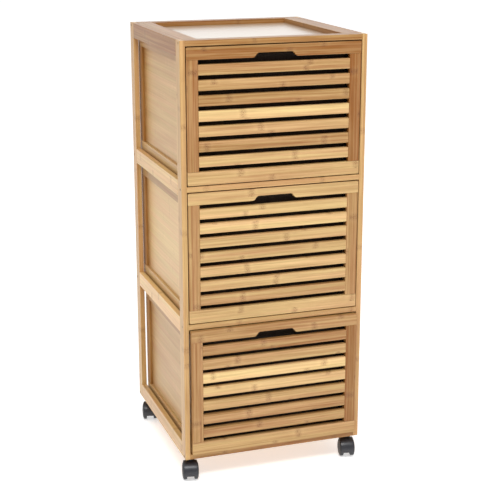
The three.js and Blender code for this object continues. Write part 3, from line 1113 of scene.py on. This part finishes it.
def add_stitch(bm, start, end, out):
    """One stitch: a thread whose ends dip into the cloth."""
    lift = Vector((0, 0, STITCH_HALF))
    rings = []
    for share, rise in STITCH_RISE:
        centre = start.lerp(end, share) + out * rise
        rings.append([centre - out, centre + lift, centre + out, centre - lift])
    add_rings(bm, rings)


def set_cloth(obj, low, high):
    """Writes each point's place on the cloth: round the bag and up its wall, or across its floor."""
    mesh = obj.data
    places = []
    for vertex in mesh.vertices:
        x, y, z = vertex.co
        on_floor = z < low.z + FLOOR_TOP
        nearer_end = min(abs(y - low.y), abs(y - high.y)) < min(abs(x - low.x), abs(x - high.x))
        across = x if on_floor or nearer_end else y
        up = y if on_floor else z
        places.extend((across, up, 0))
    mesh.attributes.new("cloth", "FLOAT_VECTOR", "POINT")
    mesh.attributes["cloth"].data.foreach_set("vector", places)


# ---- Casters ----

TRAIL = 10 * MM  # from the swivel axis to the axle
YAW = math.radians(-12)  # how far each caster is turned at rest
WHEEL_RADIUS = 21 * MM
WHEEL_INNER = 8.75 * MM
TREAD_OUTER = 16.5 * MM
DOME_OUTER = 19.5 * MM
HOOD_HALF = 15.5 * MM
HOOD_INNER = 22.2 * MM
HOOD_OUTER = 24 * MM
HOOD_START = math.radians(40)
HOOD_END = math.radians(195)
HOOD_CROWN = 0.75 * MM  # how much lower the hood is at its sides
WEB_HALF = 7.5 * MM
HUB_RADIUS = 7 * MM
HUB_TURN = math.radians(50)  # from each end of the hood's arc to where the web meets the hub
STEM_RADIUS = 4 * MM
STEM_TIP_RADIUS = 3 * MM
STEM_SHOULDER = 8.6 * MM  # above the crossbar's underside
STEM_HEIGHT = 10 * MM
SEAT_GAP = 0.6 * MM  # between the collar and the crossbar
HOUSING_EDGE = 0.5 * MM
TREAD_ROUNDING = 1.4 * MM
NECK = (  # radius, and height from the collar's top, in millimetres
    (8, -20),
    (8, -12.5),
    (10.4, -11),
    (11, -10.4),
    (11, -0.7),
    (10.4, 0),
)


def caster_axis(caster):
    """The swivel axis where it meets the floor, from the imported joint."""
    joint = next(j for j in frame["joints"] if j["name"] == f"{caster}_swivel_turn")
    return Vector((joint["pos_m"][0], joint["pos_m"][1], 0))


def caster_place(caster):
    """From a caster's own frame, whose origin is the middle of its axle and -Y the trail."""
    axis = caster_axis(caster)
    turn = Matrix.Rotation(YAW, 4, "Z")
    return Matrix.Translation(axis) @ turn @ Matrix.Translation((0, -TRAIL, WHEEL_RADIUS))


def hood_section():
    """The hood's section: across its width, outside then inside, with rolled edges."""
    points = []
    for share in spread(-1, 1, 14):
        drop = HOOD_CROWN * abs(share) ** 4
        points.append((HOOD_HALF * share, HOOD_OUTER - drop))
    for share in spread(1, -1, 14):
        points.append((HOOD_HALF * share * 0.985, HOOD_INNER + 0.05 * MM))
    return points


def add_hood(bm):
    """The hood over the wheels, thinner towards both ends."""
    steps = 40
    section = hood_section()
    rings = []
    for step, angle in enumerate(spread(HOOD_START, HOOD_END, steps)):
        near_end = min(step, steps - step) / steps
        thin = 1 - 0.35 * max(0.0, 1 - near_end / 0.04) ** 2
        ring = []
        for x, radius in section:
            reach = HOOD_INNER + (radius - HOOD_INNER) * thin
            ring.append((x, reach * math.cos(angle), reach * math.sin(angle)))
        rings.append(ring)
    add_rings(bm, rings)


def add_web(bm):
    """The web between the wheels, a sector with its hub, as one slab."""
    radius = (HOOD_INNER + HOOD_OUTER) / 2
    outline = []
    for angle in spread(HOOD_START, HOOD_END, 36):
        outline.append((radius * math.cos(angle), radius * math.sin(angle)))
    for angle in spread(HOOD_END + HUB_TURN, HOOD_START + math.tau - HUB_TURN, 16):
        outline.append((HUB_RADIUS * math.cos(angle), HUB_RADIUS * math.sin(angle)))
    add_rings(bm, [[(x, y, z) for y, z in outline] for x in (-WEB_HALF, WEB_HALF)])


def add_turned(bm, profile, steps=40, centre=(0, 0)):
    """A solid of revolution about Z through centre, from (radius, z) points that start and end inside."""
    rings = []
    for radius, z in profile:
        ring = []
        for angle in circle(steps):
            ring.append((centre[0] + radius * math.cos(angle), centre[1] + radius * math.sin(angle), z))
        rings.append(ring)
    add_rings(bm, rings)


def make_housing(caster):
    """The hood, the web, and the neck, collar and stem, which turn on the swivel axis."""
    bm = bmesh.new()
    add_hood(bm)
    add_web(bm)
    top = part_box("front_bottom_crossbar")[0].z - WHEEL_RADIUS
    seat = top - SEAT_GAP
    profile = [(radius * MM, seat + z * MM) for radius, z in NECK]
    profile += [(STEM_RADIUS, seat), (STEM_RADIUS, top + STEM_SHOULDER), (STEM_TIP_RADIUS, top + STEM_HEIGHT)]
    add_turned(bm, profile, centre=(0, TRAIL))
    round_edges(bm, HOUSING_EDGE, segments=2, sharper_than=math.radians(50))
    obj = to_object(f"{caster}_hood", bm, materials["caster_plastic"])
    soften(obj.data)
    obj.data.transform(caster_place(caster))
    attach(obj, f"{caster}_swivel")
    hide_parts(f"{caster}_housing")


def wheel_profile():
    """Half of the wheel pair's section, from the axle out: radius, and distance from the middle."""
    tread = WHEEL_RADIUS - TREAD_ROUNDING
    inner = WHEEL_INNER + TREAD_ROUNDING
    outer = TREAD_OUTER - TREAD_ROUNDING
    half = [(3 * MM, WHEEL_INNER - 1 * MM), (6 * MM, WHEEL_INNER), (tread, WHEEL_INNER)]
    for angle in spread(0, math.pi / 2, 4)[1:4]:
        half.append((tread + TREAD_ROUNDING * math.sin(angle), inner - TREAD_ROUNDING * math.cos(angle)))
    half.append((WHEEL_RADIUS, inner))
    half.append((WHEEL_RADIUS, outer))
    for angle in spread(0, math.pi / 2, 4)[1:]:
        half.append((tread + TREAD_ROUNDING * math.cos(angle), outer + TREAD_ROUNDING * math.sin(angle)))
    dome = tread - 0.9 * MM
    half.append((dome + 0.3 * MM, TREAD_OUTER - 0.5 * MM))
    for angle in spread(0, math.pi / 2, 9)[:9]:
        half.append((dome * math.cos(angle), TREAD_OUTER + (DOME_OUTER - TREAD_OUTER) * math.sin(angle)))
    half.append((4 * MM, DOME_OUTER - 0.05 * MM))
    half.append((3.6 * MM, DOME_OUTER - 0.6 * MM))
    half.append((0.4 * MM, DOME_OUTER - 0.6 * MM))
    return half


def make_wheels(caster):
    """Two wheels with rounded treads and domed faces, on one axle."""
    bm = bmesh.new()
    half = wheel_profile()
    profile = [(radius, -along) for radius, along in reversed(half)] + half
    add_turned(bm, profile, steps=48)
    obj = to_object(f"{caster}_wheel_pair", bm, materials["wheel_plastic"])
    soften(obj.data, limit=math.radians(40))
    obj.data.transform(Matrix.Rotation(math.pi / 2, 4, "Y"))
    obj.data.transform(caster_place(caster))
    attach(obj, f"{caster}_axle")
    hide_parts(f"{caster}_wheels")


def make_casters():
    for end in ENDS:
        for side in SIDES:
            caster = f"{end}_{side}_caster"
            make_housing(caster)
            make_wheels(caster)


# ---- Studio ----

FLOOR_SIZE = 40
FLOOR_GLOW = 0.52
HORIZON = 0.3  # the dome's brightness level with the floor
ZENITH = 0.76  # and straight up
RING_RADIUS = 30
RING_GLOW = 1.05
SOFT_BOXES = (  # name, place, what it points at, size, power in watts
    ("key", (-0.7, -2.2, 3.2), (0, 0, 0.5), (2.0, 0.7), 70),
    ("backdrop", (1.3, 4.0, 2.2), (0, 0, 1), (3.2, 2.2), 19),
)


def area_light(name, place, target, size, power):
    data = bpy.data.lights.new(name, "AREA")
    data.shape = "RECTANGLE"
    data.size, data.size_y = size
    data.energy = power
    light = bpy.data.objects.new(name, data)
    light.location = place
    light.rotation_euler = (Vector(target) - Vector(place)).to_track_quat("-Z", "Y").to_euler()
    light.visible_camera = False
    bpy.context.scene.collection.objects.link(light)


def make_studio():
    """A white floor under a dome that brightens towards the top, with two large soft boxes."""
    scene = bpy.context.scene
    world = bpy.data.worlds.new("studio")
    world.use_nodes = True
    tree = world.node_tree
    direction = tree.nodes.new("ShaderNodeTexCoord").outputs["Generated"]
    split = tree.nodes.new("ShaderNodeSeparateXYZ")
    tree.links.new(direction, split.inputs[0])
    brightness = tree.nodes.new("ShaderNodeMapRange")
    tree.links.new(split.outputs["Z"], brightness.inputs["Value"])
    brightness.inputs["To Min"].default_value = HORIZON
    brightness.inputs["To Max"].default_value = ZENITH
    tree.links.new(brightness.outputs["Result"], tree.nodes["Background"].inputs["Strength"])
    tree.nodes["Background"].inputs["Color"].default_value = (1, 1, 1, 1)
    scene.world = world
    scene.view_settings.view_transform = "Standard"
    bm = bmesh.new()
    bmesh.ops.create_grid(bm, x_segments=8, y_segments=8, size=FLOOR_SIZE)
    floor = to_object("studio_floor", bm, floor_material())
    make_horizon()
    for soft_box in SOFT_BOXES:
        area_light(*soft_box)


def make_horizon():
    """A white ring far away, which only the camera sees, so that the floor has no visible edge."""
    g = Graph("studio_horizon")
    g.set(base_color=(0.0, 0.0, 0.0, 1.0), emission_color=(1.0, 1.0, 1.0, 1.0), emission_strength=RING_GLOW)
    bm = bmesh.new()
    rings = []
    for z in (-RING_RADIUS, RING_RADIUS):
        rings.append([(RING_RADIUS * math.cos(a), RING_RADIUS * math.sin(a), z) for a in circle(48)])
    skin(bm, rings)
    ring = to_object("studio_horizon", bm, g.material)
    ring.visible_diffuse = False
    ring.visible_glossy = False
    ring.visible_transmission = False
    ring.visible_volume_scatter = False
    ring.visible_shadow = False


# ---- Camera ----

LENS = 89.92  # focal length in millimetres, on a sensor 36 wide
CAMERA_PLACE = (-0.7517, -2.6457, 1.3079)  # from the cabinet's front left bottom corner, in cabinet heights
CAMERA_TILT = 15.90  # degrees below level
CAMERA_TURN = 19.08  # degrees to the right of straight back


def make_camera():
    low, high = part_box("front_left_stile")
    height = high.z - low.z
    data = bpy.data.cameras.new("camera")
    data.sensor_width = 36
    data.lens = LENS
    camera = bpy.data.objects.new("camera", data)
    camera.location = low + Vector(CAMERA_PLACE) * height
    camera.rotation_euler = (math.radians(90 - CAMERA_TILT), 0, math.radians(-CAMERA_TURN))
    bpy.context.scene.collection.objects.link(camera)
    bpy.context.scene.camera = camera


make_stiles()
make_rails()
make_crossbars()
make_top()
make_runners()
for drawer in DRAWERS:
    make_front(drawer)
    make_box(drawer)
    make_liner(drawer)
make_casters()
make_studio()
make_camera()
